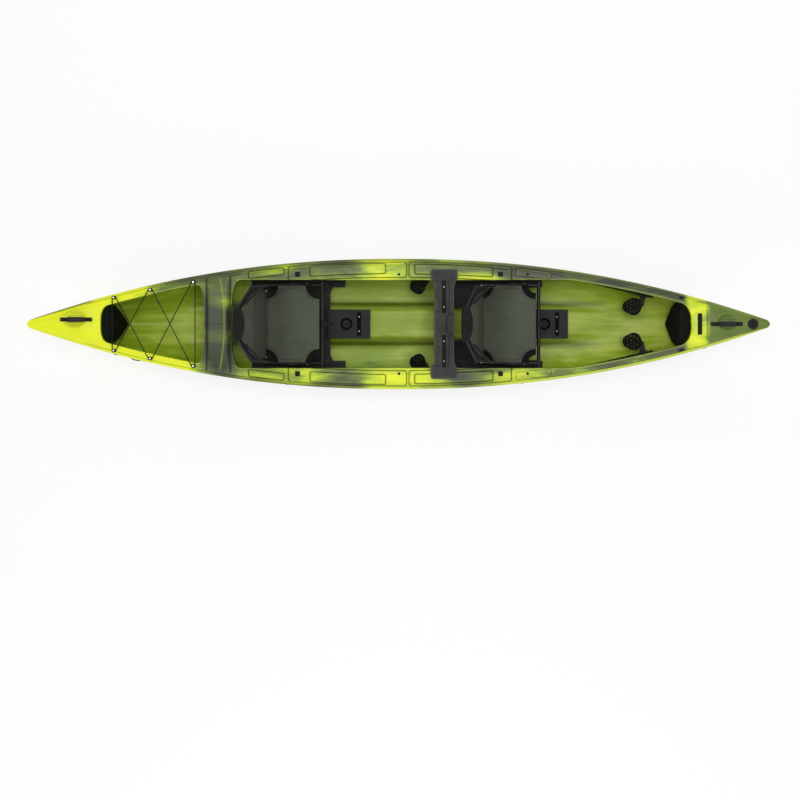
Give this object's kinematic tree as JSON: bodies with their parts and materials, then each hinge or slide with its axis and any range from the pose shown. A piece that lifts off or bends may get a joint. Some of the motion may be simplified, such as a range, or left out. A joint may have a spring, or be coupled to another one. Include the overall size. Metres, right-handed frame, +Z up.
{
  "type": "tandem sit-in fishing kayak",
  "caption": "Open tandem kayak with a tunnel hull, sliding folding seats, foot pedals on rails, a crossbar with accessory tracks, a laced stern well and an anchor trolley along one side.",
  "frame": {"origin": "amidships on the centre plane, at the level of the hull's lowest line", "axes": "+X towards the bow, +Y to port, +Z up"},
  "size_m": [4.572, 0.8106, 0.673],
  "materials": {
    "hull_plastic": "rotomoulded polyethylene, mottled lime, yellow and olive, slight sheen",
    "deck_plastic": "rotomoulded polyethylene, mottled lime, olive and dark green, slight sheen",
    "foam": "closed-cell foam, cut faces, dull black",
    "webbing": "woven polyester webbing, black",
    "black_plastic": "moulded nylon, fine grain, black",
    "grey_plastic": "moulded plastic, fine grain, charcoal",
    "track_plastic": "extruded track, satin black",
    "steel": "stainless screw heads",
    "cord": "braided cord, black",
    "rubber": "soft rubber plugs, black",
    "seat_tube": "powder-coated aluminium tube, black",
    "seat_fabric": "padded woven mesh, grey-green",
    "wing_fabric": "padded woven fabric, black"
  },
  "bodies": {
    "hull": {"hull_shell": "hull_plastic", "deck_moulding": "deck_plastic", "stern_foam_block": "foam", "bow_foam_block": "foam", "stern_handle_strap": "webbing", "bow_handle_strap": "webbing", "stern_handle_grip": "black_plastic", "bow_handle_grip": "black_plastic", "handle_screws": "steel", "drain_seat": "black_plastic", "bow_pad_eyes": "black_plastic", "bungee_hooks": "black_plastic", "deck_screws": "steel", "stern_bungee": "cord", "thwart": "grey_plastic", "thwart_tracks": "track_plastic", "thwart_screws": "steel", "gunwale_plugs": "rubber", "gunwale_buttons": "rubber", "foot_rails": "black_plastic", "foot_rail_bolts": "steel", "spare_hole_screws": "steel", "rear_seat_base": "black_plastic", "front_seat_base": "black_plastic", "console_tracks": "track_plastic", "console_screws": "steel", "trolley_eye": "black_plastic", "trolley_shock_loop": "cord", "trolley_stern_block": "black_plastic", "trolley_bow_block": "black_plastic", "trolley_fairleads": "black_plastic", "trolley_line": "cord", "trolley_screws": "steel"},
    "rear_seat": {"rear_seat_frame": "seat_tube", "rear_seat_pan": "seat_fabric", "rear_hinge_bolts": "steel", "rear_seat_straps": "webbing"},
    "rear_back": {"rear_back_frame": "seat_tube", "rear_back_sling": "seat_fabric", "rear_back_wings": "wing_fabric", "rear_head_pad": "wing_fabric"},
    "front_seat": {"front_seat_frame": "seat_tube", "front_seat_pan": "seat_fabric", "front_hinge_bolts": "steel", "front_seat_straps": "webbing"},
    "front_back": {"front_back_frame": "seat_tube", "front_back_sling": "seat_fabric", "front_back_wings": "wing_fabric", "front_head_pad": "wing_fabric"},
    "port_mid_pedal": {"port_mid_pedal": "black_plastic"},
    "port_bow_pedal": {"port_bow_pedal": "black_plastic"},
    "starboard_mid_pedal": {"starboard_mid_pedal": "black_plastic"},
    "starboard_bow_pedal": {"starboard_bow_pedal": "black_plastic"},
    "drain_plug": {"drain_plug": "black_plastic"},
    "trolley_ring": {"trolley_ring": "black_plastic"},
    "trolley_stern_sheave": {"trolley_stern_sheave": "grey_plastic"},
    "trolley_bow_sheave": {"trolley_bow_sheave": "grey_plastic"}
  },
  "joints": [
    {"name": "rear_seat_slide", "type": "slide", "parent": "hull", "child": "rear_seat", "axis": [1, 0, 0], "range_m": [-0.02, 0.09]},
    {"name": "rear_backrest_fold", "type": "hinge", "parent": "rear_seat", "child": "rear_back", "pos_m": [-0.83, 0, 0.285], "axis": [0, 1, 0], "range_deg": [-12, 78], "deforming": ["rear_seat_straps", "rear_back_wings"]},
    {"name": "front_seat_slide", "type": "slide", "parent": "hull", "child": "front_seat", "axis": [1, 0, 0], "range_m": [-0.1, 0.01]},
    {"name": "front_backrest_fold", "type": "hinge", "parent": "front_seat", "child": "front_back", "pos_m": [0.518, 0, 0.285], "axis": [0, 1, 0], "range_deg": [-12, 78], "deforming": ["front_seat_straps", "front_back_wings"]},
    {"name": "port_mid_pedal_slide", "type": "slide", "parent": "hull", "child": "port_mid_pedal", "axis": [0.9997, -0.0244, 0], "range_m": [-0.1, 0.2]},
    {"name": "port_bow_pedal_slide", "type": "slide", "parent": "hull", "child": "port_bow_pedal", "axis": [0.9738, -0.2272, 0], "range_m": [-0.3, 0.03]},
    {"name": "starboard_mid_pedal_slide", "type": "slide", "parent": "hull", "child": "starboard_mid_pedal", "axis": [0.9997, 0.0244, 0], "range_m": [-0.1, 0.2]},
    {"name": "starboard_bow_pedal_slide", "type": "slide", "parent": "hull", "child": "starboard_bow_pedal", "axis": [0.9738, 0.2272, 0], "range_m": [-0.3, 0.03]},
    {"name": "drain_plug_turn", "type": "hinge", "parent": "hull", "child": "drain_plug", "pos_m": [2.181, 0, 0.381], "axis": [0, 0, 1], "continuous": true},
    {"name": "trolley_ring_travel", "type": "hinge", "parent": "hull", "child": "trolley_ring", "pos_m": [-0.2, 5, 0.296], "axis": [0, 0, 1], "range_deg": [0, 9]},
    {"name": "stern_sheave_spin", "type": "hinge", "parent": "hull", "child": "trolley_stern_sheave", "pos_m": [-1.75784, -0.18242, 0.29979], "axis": [-0.2708, -0.9331, -0.2367], "continuous": true},
    {"name": "bow_sheave_spin", "type": "hinge", "parent": "hull", "child": "trolley_bow_sheave", "pos_m": [1.90312, -0.14092, 0.30673], "axis": [0.3122, -0.915, -0.2554], "continuous": true}
  ]
}
